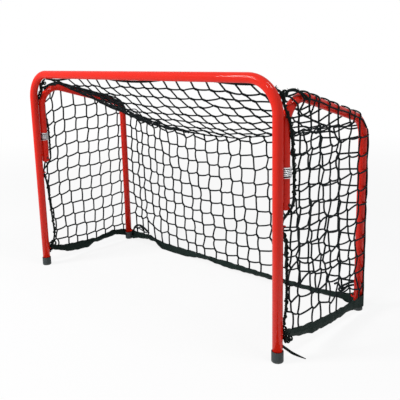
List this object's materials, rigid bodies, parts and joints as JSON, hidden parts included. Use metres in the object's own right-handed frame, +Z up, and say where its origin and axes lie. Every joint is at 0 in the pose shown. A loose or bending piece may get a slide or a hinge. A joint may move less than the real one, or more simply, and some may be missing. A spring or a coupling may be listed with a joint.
{
  "type": "floorball goal",
  "caption": "Small folding floorball goal of bent red steel tube with a black cord net; its side frames turn in on spring-held pivot sleeves.",
  "frame": {"origin": "on the floor, under the middle of the goal's box", "axes": "+X to the right seen from the front, +Y into the goal, +Z up"},
  "size_m": [0.9351, 0.3648, 0.6],
  "materials": {
    "red_paint": "gloss",
    "zinc_steel": "satin",
    "black_steel": "satin",
    "cap_plastic": "matte",
    "black_cord": "matte",
    "webbing": "matte"
  },
  "bodies": {
    "front_frame": {"goal_mouth_tube": "red_paint", "foot_cap_front_left": "cap_plastic", "foot_cap_front_right": "cap_plastic", "sleeve_left": "red_paint", "sleeve_right": "red_paint", "hook_post_left_upper": "red_paint", "hook_post_left_lower": "red_paint", "hook_post_right_upper": "red_paint", "hook_post_right_lower": "red_paint", "hook_crossbar_left": "red_paint", "hook_crossbar_right": "red_paint", "border_rope_top": "black_cord", "border_rope_left": "black_cord", "border_rope_right": "black_cord", "tie_tail": "black_cord", "net_top": "black_cord", "net_back": "black_cord", "hem_back": "webbing"},
    "left_turn": {"washer_left": "zinc_steel", "spring_left": "zinc_steel"},
    "left_side": {"side_tube_left": "red_paint", "stop_ring_left": "zinc_steel", "lock_pin_left": "black_steel", "foot_cap_rear_left": "cap_plastic", "hook_leg_left": "red_paint", "net_side_left": "black_cord", "hem_side_left": "webbing"},
    "right_turn": {"washer_right": "zinc_steel", "spring_right": "zinc_steel"},
    "right_side": {"side_tube_right": "red_paint", "stop_ring_right": "zinc_steel", "lock_pin_right": "black_steel", "foot_cap_rear_right": "cap_plastic", "hook_leg_right": "red_paint", "net_side_right": "black_cord", "hem_side_right": "webbing"}
  },
  "joints": [
    {"name": "left_fold", "type": "hinge", "parent": "front_frame", "child": "left_turn", "pos_m": [-0.439, -0.14493, 0.36], "axis": [0, 0, -1], "range_deg": [0, 90], "deforming": ["net_top", "net_back", "hem_back", "border_rope_left"]},
    {"name": "left_press", "type": "slide", "parent": "left_turn", "child": "left_side", "axis": [0, 0, -1], "range_m": [0, 0.005], "stiffness_N_per_m": 4000, "springref_m": -0.008, "deforming": ["spring_left"]},
    {"name": "right_fold", "type": "hinge", "parent": "front_frame", "child": "right_turn", "pos_m": [0.439, -0.14493, 0.36], "axis": [0, 0, 1], "range_deg": [0, 90], "deforming": ["net_top", "net_back", "hem_back", "border_rope_right"]},
    {"name": "right_press", "type": "slide", "parent": "right_turn", "child": "right_side", "axis": [0, 0, -1], "range_m": [0, 0.005], "stiffness_N_per_m": 4000, "springref_m": -0.008, "deforming": ["spring_right"]}
  ]
}
